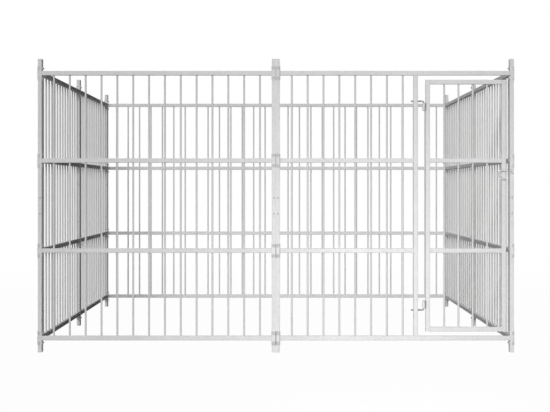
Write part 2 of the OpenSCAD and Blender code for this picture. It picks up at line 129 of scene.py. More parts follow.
class KennelFinish(PropertyGroup):
    """Colours and grain of the kennel's metals and plastics."""

    zinc_pale: FloatVectorProperty(
        name="Pale zinc", description="Lightest crystals of the dipped zinc",
        subtype="COLOR", min=0, max=1, default=linear("#DADADA"))
    zinc_dull: FloatVectorProperty(
        name="Dull zinc", description="Darkest crystals and drained runs of the dipped zinc",
        subtype="COLOR", min=0, max=1, default=linear("#CBCBCB"))
    # Painted shade: the bar zinc is toned darker than the tube zinc, standing in for the shade on the
    # round bars.
    bar_shaded_pale: FloatVectorProperty(
        name="Pale bar zinc", description="Lightest crystals on the solid bars, which cool slowly",
        subtype="COLOR", min=0, max=1, default=linear("#D4D4D4"))
    bar_shaded_dull: FloatVectorProperty(
        name="Dull bar zinc", description="Darkest crystals on the solid bars",
        subtype="COLOR", min=0, max=1, default=linear("#C5C5C5"))
    # Painted light: a lighter zinc tone laid in the valley between two middle posts, lifting the shade of
    # their rounded corners.
    seam_light_colour: FloatVectorProperty(
        name="Bright run", description="Zinc that ran down the seam between two middle posts",
        subtype="COLOR", min=0, max=1, default=linear("#E4E4E4"))
    # This dark grey is painted shade on the joint plates and beside the hinge sleeves, and the dull tone
    # of the tarnished hinge hooks.
    shade_and_tarnish: FloatVectorProperty(
        name="Bath ash", description="Grey ash of the zinc bath, and scorched or tarnished zinc",
        subtype="COLOR", min=0, max=1, default=linear("#8C8C8C"))
    plating_pale: FloatVectorProperty(
        name="Pale plating", description="Lightest tone of the plated bolts and rods",
        subtype="COLOR", min=0, max=1, default=linear("#C2C2C2"))
    plating_dull: FloatVectorProperty(
        name="Dull plating", description="Darkest tone of the plated bolts and rods",
        subtype="COLOR", min=0, max=1, default=linear("#A0A0A0"))
    plug_grey: FloatVectorProperty(
        name="Plug grey", description="Colour of the moulded plugs",
        subtype="COLOR", min=0, max=1, default=linear("#BABABA"))
    spangle: FloatProperty(
        name="Spangle", description="Width of one zinc crystal",
        unit="LENGTH", min=0.004, max=0.05, default=14 * MM)


class KennelDetail(PropertyGroup):
    """Sizes of the welds, threads and hole plugs."""

    bead_wide: FloatProperty(
        name="Bead width", description="Half width of a weld bead along its tube",
        unit="LENGTH", min=0.001, max=0.006, default=2.6 * MM)
    bead_proud: FloatProperty(
        name="Bead height", description="Height of a weld bead over a tube's face",
        unit="LENGTH", min=0.0002, max=0.003, default=0.7 * MM)
    ripple: FloatProperty(
        name="Weld ripple", description="Distance between two ripples of a bead",
        unit="LENGTH", min=0.001, max=0.01, default=3.6 * MM)
    plug_wide: FloatProperty(
        name="Hole plug", description="Diameter of a plug that closes a spare hole",
        unit="LENGTH", min=0.006, max=0.02, default=13 * MM)
    plug_high: FloatProperty(
        name="Hole plug height", description="Height of a plug's dome over the post",
        unit="LENGTH", min=0.0005, max=0.006, default=2.6 * MM)


class KennelStudio(PropertyGroup):
    """Floor, lamps and camera."""

    floor_colour: FloatVectorProperty(
        name="Floor", description="Colour of the studio floor",
        subtype="COLOR", min=0, max=1, default=linear("#808080"))
    floor_glow: FloatProperty(
        name="Floor glow", description="Share of plain white in the floor that the camera sees",
        subtype="FACTOR", min=0, max=1, default=0.98)
    ambient: FloatProperty(
        name="Ambient", description="Strength of the even light from all sides",
        min=0, max=2, default=0.04)
    key_power: FloatProperty(
        name="Key lamp", description="Watts on a square metre from the far soft lamp before the pen",
        min=0, max=20, default=2.17)
    side_power: FloatProperty(
        name="Side lamp", description="Watts on a square metre from the far soft lamp at the left",
        min=0, max=20, default=0.5)
    fill_power: FloatProperty(
        name="Fill lamp", description="Power of the small low lamp before the door",
        unit="POWER", min=0, max=9000, default=20.5)
    back_power: FloatProperty(
        name="Back lamp", description="Power of the large lamp behind the pen",
        unit="POWER", min=0, max=9000, default=1800)
    right_power: FloatProperty(
        name="Right lamp", description="Power of the large lamp that lights the pen's right side alone",
        unit="POWER", min=0, max=9000, default=330)
    low_power: FloatProperty(
        name="Low lamp", description="Power of the long low lamp that lights the back panels alone",
        unit="POWER", min=0, max=9000, default=4)
    camera_place: FloatVectorProperty(
        name="Camera", description="Place of the camera before the door side",
        subtype="TRANSLATION", unit="LENGTH", default=(0.015, -9.155, 1.036))
    lens: FloatProperty(
        name="Lens", description="Focal length of the camera in millimetres",
        min=10, max=300, default=79.5)


def add_node(tree, kind, inputs=None, **settings):
    """One node of a tree: its settings, then each input as a value or as a link."""
    node = tree.nodes.new(kind)
    for name, value in settings.items():
        setattr(node, name, value)
    for socket, value in (inputs or {}).items():
        if isinstance(value, NodeSocket):
            tree.links.new(value, node.inputs[socket])
        else:
            node.inputs[socket].default_value = value
    return node


def empty_material(name):
    """A new material with an empty node tree, and that tree."""
    material = bpy.data.materials.new(name)
    material.use_nodes = True
    material.node_tree.nodes.clear()
    return material, material.node_tree


# Dipped zinc is too rough to shine at a grazing view, so its edge tint is dark.
ZINC_GLOSS = {"Metallic": 0.12, "Specular IOR Level": 0.0, "Specular Tint": (0.0, 0.0, 0.0, 1)}


def plate_painted_shade(tree, place, across):
    """Share of painted shade on a joint plate: all in its pressed bead, some along its bolt rows and on
    one edge.

    The painted shade stands in for the shade in the bead's crease, round the bolt heads and on the edge
    turned from the key lamp, and is darker towards the bottom.
    """
    at = add_node(tree, "ShaderNodeSeparateXYZ", {"Vector": place}).outputs
    off_seam = add_node(tree, "ShaderNodeMath", {
        0: at[across], 1: SEAM_STEP / 2, 2: -SEAM_STEP / 2}, operation="WRAP").outputs["Value"]
    # The pressed bead is 4 mm wide at its root, and the painted shade round a bolt row reaches 14 mm.
    beside = add_node(tree, "ShaderNodeMath", {0: off_seam}, operation="ABSOLUTE")
    bead = add_node(tree, "ShaderNodeMapRange", {
        "Value": beside.outputs["Value"], "From Min": 2 * MM, "From Max": 3.5 * MM,
        "To Min": 1.0, "To Max": 0.0})
    off_rail = None
    for height in RAIL_HEIGHTS:
        above = add_node(tree, "ShaderNodeMath", {0: at["Z"], 1: height}, operation="SUBTRACT")
        nearest = add_node(tree, "ShaderNodeMath", {0: above.outputs["Value"]}, operation="ABSOLUTE")
        if off_rail:
            nearest = add_node(tree, "ShaderNodeMath", {
                0: off_rail, 1: nearest.outputs["Value"]}, operation="MINIMUM")
        off_rail = nearest.outputs["Value"]
    past_row = add_node(tree, "ShaderNodeMath", {0: off_rail, 1: BOLT_ROW}, operation="SUBTRACT")
    off_row = add_node(tree, "ShaderNodeMath", {0: past_row.outputs["Value"]}, operation="ABSOLUTE")
    row = add_node(tree, "ShaderNodeMapRange", {
        "Value": off_row.outputs["Value"], "From Min": 8 * MM, "From Max": 14 * MM,
        "To Min": 0.42, "To Max": 0.0})
    crease_and_row_shade = add_node(tree, "ShaderNodeMath", {
        0: bead.outputs["Result"], 1: row.outputs["Result"]}, operation="MAXIMUM")
    # The painted shade is stronger towards the bottom.
    lower_down = add_node(tree, "ShaderNodeMapRange", {
        "Value": at["Z"], "From Min": RAIL_HEIGHTS[0], "From Max": RAIL_HEIGHTS[3],
        "To Min": 1.0, "To Max": 0.3})
    shade_fading_up = add_node(tree, "ShaderNodeMath", {
        0: crease_and_row_shade.outputs["Value"], 1: lower_down.outputs["Result"]}, operation="MULTIPLY")
    # Painted shade on the plate's bent edge on the plus side of the seam, which turns away from the key
    # lamp.
    turned_edge_shade = add_node(tree, "ShaderNodeMapRange", {
        "Value": off_seam, "From Min": 21 * MM, "From Max": 23 * MM, "To Min": 0.0, "To Max": 0.55})
    shade_and_tarnish = add_node(tree, "ShaderNodeMath", {
        0: shade_fading_up.outputs["Value"], 1: turned_edge_shade.outputs["Result"]}, operation="MAXIMUM")
    # The painted shade is broken up in patches of about 5 mm.
    patches = add_node(tree, "ShaderNodeTexNoise", {
        "Vector": place, "Scale": 1 / (5 * MM), "Detail": 2.0})
    thick = add_node(tree, "ShaderNodeMapRange", {
        "Value": patches.outputs["Fac"], "From Min": 0.3, "From Max": 0.7, "To Min": 0.8, "To Max": 1.2})
    return add_node(tree, "ShaderNodeMath", {
        0: shade_and_tarnish.outputs["Value"], 1: thick.outputs["Result"]}, operation="MULTIPLY").outputs["Value"]


def sleeve_gap_shade(tree, place):
    """Share of painted shade beside the hinge sleeves: a stripe along the stile's edge by each, for the
    shadow in the gap between sleeve and stile.
    """
    stile_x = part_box("door_stiles")[0].x
    low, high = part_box("hinge_sleeves")
    middle, half = (low.z + high.z) / 2, (high.z - low.z) / 2
    at = add_node(tree, "ShaderNodeSeparateXYZ", {"Vector": place}).outputs
    # The painted shade covers the outer 6 mm of the stile, and fades out 4 mm past the sleeve's ends.
    past_edge = add_node(tree, "ShaderNodeMapRange", {
        "Value": at["X"], "From Min": stile_x - 2 * MM, "From Max": stile_x,
        "To Min": 0.0, "To Max": 0.85})
    near_edge = add_node(tree, "ShaderNodeMapRange", {
        "Value": at["X"], "From Min": stile_x + 4 * MM, "From Max": stile_x + 6 * MM,
        "To Min": 1.0, "To Max": 0.0})
    above = add_node(tree, "ShaderNodeMath", {0: at["Z"], 1: middle}, operation="SUBTRACT")
    off_middle = add_node(tree, "ShaderNodeMath", {0: above.outputs["Value"]}, operation="ABSOLUTE")
    inner_end = add_node(tree, "ShaderNodeMapRange", {
        "Value": off_middle.outputs["Value"], "From Min": half - SLEEVE_TALL - 4 * MM,
        "From Max": half - SLEEVE_TALL})
    outer_end = add_node(tree, "ShaderNodeMapRange", {
        "Value": off_middle.outputs["Value"], "From Min": half, "From Max": half + 4 * MM,
        "To Min": 1.0, "To Max": 0.0})
    share = past_edge.outputs["Result"]
    for limit in (near_edge, inner_end, outer_end):
        share = add_node(tree, "ShaderNodeMath", {
            0: share, 1: limit.outputs["Result"]}, operation="MULTIPLY").outputs["Value"]
    return share


def seam_painted_light(tree, place, across):
    """Share of painted light in the valley between the two middle posts of a side, lifting the shade of
    their rounded corners.
    """
    at = add_node(tree, "ShaderNodeSeparateXYZ", {"Vector": place}).outputs
    # The painted light covers both posts' rounded corners, 3 mm each, and thins out beyond them.
    off_seam = add_node(tree, "ShaderNodeMath", {0: at[across]}, operation="ABSOLUTE")
    return add_node(tree, "ShaderNodeMapRange", {
        "Value": off_seam.outputs["Value"], "From Min": 2.5 * MM, "From Max": 4.5 * MM,
        "To Min": 1.0, "To Max": 0.0}).outputs["Result"]


def hot_dip_galvanised_steel(finish, name, pale, dull, painted_light_and_shade=None):
    """Steel dipped in molten zinc, which freezes to crystals and drains down in runs.

    The eye gets a matt light grey with flat crystal patches, faint upright streaks and slow clouds.
    The last argument is painted light and shade: a function that gives its share of the surface, and its
    colour.
    """
    material, tree = empty_material(name)
    place = add_node(tree, "ShaderNodeTexCoord").outputs["Object"]
    crystals = add_node(tree, "ShaderNodeTexVoronoi", {"Vector": place, "Scale": 1 / finish.spangle})
    crystal = add_node(tree, "ShaderNodeSeparateColor", {"Color": crystals.outputs["Color"]})
    # Runs are 25 mm wide and 400 mm long, clouds 180 mm across.
    drained = add_node(tree, "ShaderNodeMapping", {
        "Vector": place, "Scale": (1 / (25 * MM), 1 / (25 * MM), 1 / (400 * MM))})
    runs = add_node(tree, "ShaderNodeTexNoise", {
        "Vector": drained.outputs["Vector"], "Scale": 1.0, "Detail": 2.0})
    clouds = add_node(tree, "ShaderNodeTexNoise", {
        "Vector": place, "Scale": 1 / (180 * MM), "Detail": 3.0})
    soft = add_node(tree, "ShaderNodeMath", {
        0: runs.outputs["Fac"], 1: 0.5, 2: clouds.outputs["Fac"]}, operation="MULTIPLY_ADD")
    mixed = add_node(tree, "ShaderNodeMath", {
        0: crystal.outputs["Red"], 1: 0.45, 2: soft.outputs["Value"]}, operation="MULTIPLY_ADD")
    tone = add_node(tree, "ShaderNodeMapRange", {
        "Value": mixed.outputs["Value"], "From Min": 0.35, "From Max": 1.6})
    colour = add_node(tree, "ShaderNodeMix", {
        0: tone.outputs["Result"], 6: (*dull, 1), 7: (*pale, 1)}, data_type="RGBA")
    if painted_light_and_shade:
        share, tint = painted_light_and_shade
        colour = add_node(tree, "ShaderNodeMix", {
            0: share(tree, place), 6: colour.outputs[2], 7: (*tint, 1)}, data_type="RGBA")
    rough = add_node(tree, "ShaderNodeMapRange", {
        "Value": tone.outputs["Result"], "To Min": 0.58, "To Max": 0.46})
    # The zinc's skin is grainy at about 2 mm, and crystals meet in shallow grooves.
    grain = add_node(tree, "ShaderNodeTexNoise", {
        "Vector": place, "Scale": 1 / (2 * MM), "Detail": 2.0})
    edges = add_node(tree, "ShaderNodeTexVoronoi", {
        "Vector": place, "Scale": 1 / finish.spangle}, feature="DISTANCE_TO_EDGE")
    grooves = add_node(tree, "ShaderNodeMapRange", {
        "Value": edges.outputs["Distance"], "From Max": 0.12})
    height = add_node(tree, "ShaderNodeMath", {
        0: grain.outputs["Fac"], 1: 0.4, 2: grooves.outputs["Result"]}, operation="MULTIPLY_ADD")
    bump = add_node(tree, "ShaderNodeBump", {
        "Strength": 0.25, "Distance": 0.15 * MM, "Height": height.outputs["Value"]})
    shader = add_node(tree, "ShaderNodeBsdfPrincipled", {
        "Base Color": colour.outputs[2], "Roughness": rough.outputs["Result"],
        "Normal": bump.outputs["Normal"], **ZINC_GLOSS})
    add_node(tree, "ShaderNodeOutputMaterial", {"Surface": shader.outputs["BSDF"]})
    return material


def zinc_coated_weld(finish):
    """Weld bead under the same dip of zinc: duller than the tube, lumpy and rougher."""
    material, tree = empty_material("zinc_coated_weld")
    place = add_node(tree, "ShaderNodeTexCoord").outputs["Object"]
    # Lumps of spatter are about 3 mm wide.
    lumps = add_node(tree, "ShaderNodeTexNoise", {
        "Vector": place, "Scale": 1 / (3 * MM), "Detail": 4.0})
    colour = add_node(tree, "ShaderNodeMix", {
        0: lumps.outputs["Fac"], 6: (*finish.plating_dull, 1), 7: (*finish.zinc_pale, 1)},
        data_type="RGBA")
    rough = add_node(tree, "ShaderNodeMapRange", {
        "Value": lumps.outputs["Fac"], "To Min": 0.75, "To Max": 0.5})
    bump = add_node(tree, "ShaderNodeBump", {
        "Strength": 0.5, "Distance": 0.3 * MM, "Height": lumps.outputs["Fac"]})
    shader = add_node(tree, "ShaderNodeBsdfPrincipled", {
        "Base Color": colour.outputs[2], "Roughness": rough.outputs["Result"],
        "Normal": bump.outputs["Normal"], **ZINC_GLOSS})
    add_node(tree, "ShaderNodeOutputMaterial", {"Surface": shader.outputs["BSDF"]})
    return material


def zinc_plated_steel(name, pale, dull, rub):
    """Turned steel with a thin electroplated zinc skin: smoother and more mirror-like than dipped zinc.

    The eye gets a satin metal with cloudy tarnish and fine scratches, which run along the rub.
    """
    material, tree = empty_material(name)
    place = add_node(tree, "ShaderNodeTexCoord").outputs["Object"]
    tarnish = add_node(tree, "ShaderNodeTexNoise", {
        "Vector": place, "Scale": 1 / (9 * MM), "Detail": 4.0})
    # Scratches are 0.6 mm apart, drawn wider than real ones so that they show.
    along = add_node(tree, "ShaderNodeMapping", {"Vector": place, "Scale": rub})
    scratches = add_node(tree, "ShaderNodeTexNoise", {
        "Vector": along.outputs["Vector"], "Scale": 1 / (0.6 * MM), "Detail": 2.0})
    mixed = add_node(tree, "ShaderNodeMath", {
        0: scratches.outputs["Fac"], 1: 0.5, 2: tarnish.outputs["Fac"]}, operation="MULTIPLY_ADD")
    tone = add_node(tree, "ShaderNodeMapRange", {
        "Value": mixed.outputs["Value"], "From Min": 0.45, "From Max": 1.05})
    colour = add_node(tree, "ShaderNodeMix", {
        0: tone.outputs["Result"], 6: (*dull, 1), 7: (*pale, 1)}, data_type="RGBA")
    rough = add_node(tree, "ShaderNodeMapRange", {
        "Value": tone.outputs["Result"], "To Min": 0.5, "To Max": 0.32})
    bump = add_node(tree, "ShaderNodeBump", {
        "Strength": 0.15, "Distance": 0.05 * MM, "Height": scratches.outputs["Fac"]})
    shader = add_node(tree, "ShaderNodeBsdfPrincipled", {
        "Base Color": colour.outputs[2], "Roughness": rough.outputs["Result"],
        "Normal": bump.outputs["Normal"], "Metallic": 0.5})
    add_node(tree, "ShaderNodeOutputMaterial", {"Surface": shader.outputs["BSDF"]})
    return material


def moulded_polyethylene(finish):
    """Soft plastic from an eroded mould: matt, with a fine pebbled skin and rubbed lighter patches."""
    material, tree = empty_material("moulded_polyethylene")
    place = add_node(tree, "ShaderNodeTexCoord").outputs["Object"]
    # The mould's pebbles are 0.8 mm wide, rubbed patches 12 mm.
    pebbles = add_node(tree, "ShaderNodeTexVoronoi", {"Vector": place, "Scale": 1 / (0.8 * MM)})
    rubbed = add_node(tree, "ShaderNodeTexNoise", {
        "Vector": place, "Scale": 1 / (12 * MM), "Detail": 3.0})
    shade = add_node(tree, "ShaderNodeMapRange", {
        "Value": rubbed.outputs["Fac"], "From Min": 0.3, "From Max": 0.7, "To Min": 0.9, "To Max": 1.08})
    colour = add_node(tree, "ShaderNodeHueSaturation", {
        "Color": (*finish.plug_grey, 1), "Value": shade.outputs["Result"]})
    rough = add_node(tree, "ShaderNodeMapRange", {
        "Value": rubbed.outputs["Fac"], "To Min": 0.7, "To Max": 0.5})
    bump = add_node(tree, "ShaderNodeBump", {
        "Strength": 0.3, "Distance": 0.1 * MM, "Height": pebbles.outputs["Distance"]})
    shader = add_node(tree, "ShaderNodeBsdfPrincipled", {
        "Base Color": colour.outputs["Color"], "Roughness": rough.outputs["Result"],
        "Normal": bump.outputs["Normal"], "IOR": 1.51})
    add_node(tree, "ShaderNodeOutputMaterial", {"Surface": shader.outputs["BSDF"]})
    return material


def recoat(names, material):
    """Gives a finish to the CAD nodes with these names."""
    for name in names:
        frame["nodes"][name].material_slots[0].material = material


def coat(slot, material):
    """Gives a finish to every CAD node of a record's material slot."""
    found = [n for n, o in frame["nodes"].items() if o.data.materials[0].name.startswith(slot)]
    if not found:
        raise RuntimeError(f"no CAD node has the slot {slot}")
    recoat(found, material)


def skin(bm, rings, closed):
    """Faces between like rings of points: a closed loop, or a run with a cap at each end."""
    loops = [[bm.verts.new(p) for p in ring] for ring in rings]
    pairs = list(zip(loops, loops[1:]))
    if closed:
        pairs.append((loops[-1], loops[0]))
    else:
        bm.faces.new(loops[0])
        bm.faces.new(loops[-1])
    for first, second in pairs:
        for i in range(len(first)):
            j = (i + 1) % len(first)
            bm.faces.new((first[i], first[j], second[j], second[i]))


def make_piece(name, bm, body, material):
    """An object from a finished mesh, riding on a CAD body."""
    bmesh.ops.recalc_face_normals(bm, faces=bm.faces)
    mesh = bpy.data.meshes.new(name)
    bm.to_mesh(mesh)
    bm.free()
    mesh.polygons.foreach_set("use_smooth", [True] * len(mesh.polygons))
    mesh.materials.append(material)
    piece = bpy.data.objects.new(name, mesh)
    bpy.context.scene.collection.objects.link(piece)
    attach(piece, body)
    return piece


def circle(count):
    """Angles of points spread evenly round a circle."""
    return [math.tau * k / count for k in range(count)]


def panel_axis(low, high):
    """Direction in which a panel's box is long: across the pen or along it."""
    return X if high.x - low.x > high.y - low.y else Y


def weld_wave(i, draw):
    """Height of a bead at its step i, as a share: a ripple every four steps, a little uneven."""
    return 0.88 + 0.12 * math.cos(math.tau * i / 4) + draw.uniform(-0.05, 0.05)


def tube_outline(half_a, half_b, step):
    """Points and outward directions round a tube's section, about one step apart."""
    corner_steps = 3
    corners = []
    for sign_a, sign_b, start in ((1, 1, 0), (-1, 1, 90), (-1, -1, 180), (1, -1, 270)):
        for i in range(corner_steps + 1):
            angle = math.radians(start + 90 * i / corner_steps)
            out = Vector((math.cos(angle), math.sin(angle)))
            middle = Vector((sign_a * (half_a - TUBE_CORNER), sign_b * (half_b - TUBE_CORNER)))
            corners.append((middle + out * TUBE_CORNER, out))
    points = []
    for (here, out), (there, _) in zip(corners, corners[1:] + corners[:1]):
        count = max(1, round((there - here).length / step))
        points += [(here.lerp(there, i / count), out) for i in range(count)]
    return points


def weld_round(bm, centre, axis, side, half_a, half_b, detail, draw):
    """Rippled bead round a tube's end: flat on the faces that are flush, a fillet above and below."""
    section_points = 6
    sunk = 1.3 * MM
    up = axis.cross(side)
    step = detail.ripple / 4
    rings = []
    points = tube_outline(half_a - sunk, half_b - sunk, step)
    for i, (at, out) in enumerate(points):
        wave = weld_wave(i, draw)
        high = (sunk + detail.bead_proud * (1 + 1.6 * abs(out.y))) * wave
        wide = detail.bead_wide * wave
        middle = centre + side * at.x + up * at.y
        outward = side * out.x + up * out.y
        rings.append([
            middle + outward * (high * math.cos(a)) + axis * (wide * math.sin(a))
            for a in circle(section_points)
        ])
    skin(bm, rings, closed=True)


def weld_line(bm, start, end, radius, detail, draw):
    """Rippled straight bead with tapered ends."""
    section_points = 8
    line = end - start
    along = line.normalized()
    side = along.cross(Y if abs(along.y) < 0.9 else Z).normalized()
    up = along.cross(side)
    count = max(8, round(line.length / detail.ripple * 4))
    rings = []
    for i in range(count + 1):
        wave = weld_wave(i, draw)
        taper = math.sqrt(min(1, (min(i, count - i) + 0.3) / 3))
        size = radius * wave * taper
        middle = start + along * (line.length * i / count)
        rings.append([
            middle + side * (size * math.cos(a)) + up * (size * math.sin(a))
            for a in circle(section_points)
        ])
    skin(bm, rings, closed=False)


def thread(bm, start, along, length, radius, pitch):
    """Ridge of a screw thread, wound round a rod from start."""
    steps = 16
    crest, flank, sunk = 0.35 * pitch, 0.45 * pitch, 0.1 * MM
    side = along.cross(Z if abs(along.z) < 0.9 else X).normalized()
    up = along.cross(side)
    turns = (length - pitch) / pitch
    count = max(steps, round(turns * steps))
    rings = []
    for i in range(count + 1):
        angle = math.tau * turns * i / count
        out = side * math.cos(angle) + up * math.sin(angle)
        foot = start + along * (pitch / 2 + (length - pitch) * i / count)
        rings.append([
            foot + out * (radius - sunk) - along * flank,
            foot + out * (radius + crest),
            foot + out * (radius - sunk) + along * flank,
        ])
    skin(bm, rings, closed=False)


def hole_plug(bm, face, out, detail):
    """Domed push-in plug on a post's face, with a thin rim."""
    around = 24
    side = out.cross(Z)
    half = detail.plug_wide / 2
    profile = (
        (1.0, -0.1), (1.0, 0.28), (0.97, 0.38), (0.86, 0.44), (0.82, 0.55),
        (0.68, 0.78), (0.46, 0.93), (0.2, 1.0),
    )
    rings = [
        [face + out * (detail.plug_high * high)
         + (side * math.cos(a) + Z * math.sin(a)) * (half * wide)
         for a in circle(around)]
        for wide, high in profile
    ]
    skin(bm, rings, closed=False)


def node_end(low, high, axis, at_high):
    """Middle of a node's box, moved to its low or high end along an axis."""
    middle = (low + high) / 2
    end = high if at_high else low
    return middle + axis * (end - middle).dot(axis)


class KENNEL_OT_dip_tubes(Operator):
    """Coats posts, rails, bars, plates and sleeves with hot-dip zinc."""

    bl_idname = "kennel.dip_tubes"
    bl_label = "Dip the tubes"

    def execute(self, context):
        finish = context.scene.kennel_finish
        zinc = finish.zinc_pale, finish.zinc_dull
        coat("galvanised_steel", hot_dip_galvanised_steel(finish, "hot_dip_galvanised_tube", *zinc))
        # The bars get a darker copy of the tube zinc, a painted shade for the round bars.
        recoat(self.named("_bars"), hot_dip_galvanised_steel(
            finish, "hot_dip_galvanised_bar_shaded", finish.bar_shaded_pale, finish.bar_shaded_dull))
        # The stile and sleeves get painted shade along the stile's edge by each sleeve.
        recoat(("door_stiles", "hinge_sleeves"), hot_dip_galvanised_steel(
            finish, "hot_dip_galvanised_sleeve_shade", *zinc, (sleeve_gap_shade, finish.shade_and_tarnish)))
        for across, sides in (("X", ("front", "back")), ("Y", ("left", "right"))):
            # Joint plates get painted shade in their bead, by their bolt rows and on one edge.
            shade_and_tarnish = partial(plate_painted_shade, across=across), finish.shade_and_tarnish
            recoat(self.named("_joint_plates", sides), hot_dip_galvanised_steel(
                finish, f"hot_dip_galvanised_plate_{across}", *zinc, shade_and_tarnish))
            # The middle posts get painted light in the valley between them.
            lifted_seam = partial(seam_painted_light, across=across), finish.seam_light_colour
            recoat(self.named("_posts", sides), hot_dip_galvanised_steel(
                finish, f"hot_dip_galvanised_post_{across}", *zinc, lifted_seam))
        return {"FINISHED"}

    def named(self, end, starts=""):
        """Names of the CAD nodes that start and end so."""
        return [name for name in frame["nodes"] if name.startswith(starts) and name.endswith(end)]


class KENNEL_OT_plate_hardware(Operator):
    """Plates the bolts, washers, nuts, hinge hooks and sliding bolt with zinc."""

    bl_idname = "kennel.plate_hardware"
    bl_label = "Plate the hardware"

    def execute(self, context):
        finish = context.scene.kennel_finish
        coat("zinc_plated_steel", zinc_plated_steel(
            "zinc_plated_steel_turned", finish.plating_pale, finish.plating_dull, (1, 1, 1)))
        # The sliding bolt is rubbed bright along its legs by the staples.
        recoat(("latch_bolt",), zinc_plated_steel(
            "zinc_plated_steel_rubbed", finish.zinc_pale, finish.plating_pale, (0.05, 1, 1)))
        # The hinge hooks are oiled and gather dust, so they have tarnished most.
        recoat(("hinge_hooks", "hook_nuts"), zinc_plated_steel(
            "zinc_plated_steel_tarnished", finish.plating_dull, finish.shade_and_tarnish, (1, 1, 1)))
        return {"FINISHED"}


class KENNEL_OT_mould_plugs(Operator):
    """Gives the posts' caps and feet their moulded plastic."""

    bl_idname = "kennel.mould_plugs"
    bl_label = "Mould the end plugs"

    def execute(self, context):
        coat("end_plug_plastic", moulded_polyethylene(context.scene.kennel_finish))
        return {"FINISHED"}


class KENNEL_OT_weld_panels(Operator):
    """Lays a bead round every rail's end on the panels, and round the jamb's ends."""

    bl_idname = "kennel.weld_panels"
    bl_label = "Weld the panels"

    def execute(self, context):
        detail = context.scene.kennel_detail
        weld = zinc_coated_weld(context.scene.kennel_finish)
        draw = random.Random(11)
        jamb_low, jamb_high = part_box("door_jamb")
        for panel in PANELS:
            low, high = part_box(panel + "_rails")
            axis = panel_axis(low, high)
            bm = bmesh.new()
            for row, z in enumerate(RAIL_HEIGHTS):
                for at_high in (False, True):
                    centre = node_end(low, high, axis, at_high)
                    centre.z = z
                    # Beside the door the two middle rails end at the jamb.
                    if panel == "front_right" and at_high and row in (1, 2):
                        centre.x = jamb_low.x
                    weld_round(bm, centre, -axis if at_high else axis, Y if axis == X else X,
                               POST / 2, RAIL_HIGH / 2, detail, draw)
            if panel == "front_right":
                for at_high in (False, True):
                    weld_round(bm, node_end(jamb_low, jamb_high, Z, at_high), Z, Y,
                               POST / 2, RAIL_HIGH / 2, detail, draw)
                self.weld_keeper(bm, detail, draw)
            make_piece(panel + "_welds", bm, "root", weld)
        return {"FINISHED"}

    def weld_keeper(self, bm, detail, draw):
        """Beads above and below the keeper plate on the corner post."""
        low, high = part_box("keeper_plate")
        for z in (low.z, high.z):
            weld_line(bm, Vector((low.x + PLATE_BEAD_INSET, high.y, z)),
                      Vector((high.x - PLATE_BEAD_INSET, high.y, z)), KEEPER_BEAD, detail, draw)


class KENNEL_OT_weld_door(Operator):
    """Lays beads round the door rails' ends, along the hinge sleeves and at the latch plate."""

    bl_idname = "kennel.weld_door"
    bl_label = "Weld the door"

    def execute(self, context):
        detail = context.scene.kennel_detail
        weld = bpy.data.materials.get("zinc_coated_weld")
        if weld is None:
            raise RuntimeError("the panels are welded before the door")
        draw = random.Random(23)
        low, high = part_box("door_rails")
        bm = bmesh.new()
        for z in DOOR_RAIL_HEIGHTS:
            for at_high in (False, True):
                centre = node_end(low, high, X, at_high)
                centre.z = z
                weld_round(bm, centre, -X if at_high else X, Y, POST / 2, RAIL_HIGH / 2, detail, draw)
        self.weld_sleeves(bm, detail, draw)
        self.weld_latch_plate(bm, detail, draw)
        make_piece("door_welds", bm, "door", weld)
        return {"FINISHED"}

    def weld_sleeves(self, bm, detail, draw):
        """Upright bead in the groove between each sleeve and the stile, on the pen's inner side."""
        stile_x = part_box("door_stiles")[0].x
        low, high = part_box("hinge_sleeves")
        groove = Vector((stile_x - 0.6 * MM, (low.y + high.y) / 2 + 4.2 * MM, 0))
        for z in (low.z, high.z - SLEEVE_TALL):
            foot = groove + Z * (z + SLEEVE_BEAD_INSET)
            top = groove + Z * (z + SLEEVE_TALL - SLEEVE_BEAD_INSET)
            weld_line(bm, foot, top, SLEEVE_BEAD, detail, draw)

    def weld_latch_plate(self, bm, detail, draw):
        """Beads above and below the latch plate on the stile."""
        low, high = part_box("latch_plate")
        stile_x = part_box("door_stiles")[1].x - RAIL_HIGH
        for z in (low.z, high.z):
            weld_line(bm, Vector((stile_x + PLATE_BEAD_INSET, high.y, z)),
                      Vector((high.x - PLATE_BEAD_INSET, high.y, z)), LATCH_BEAD, detail, draw)


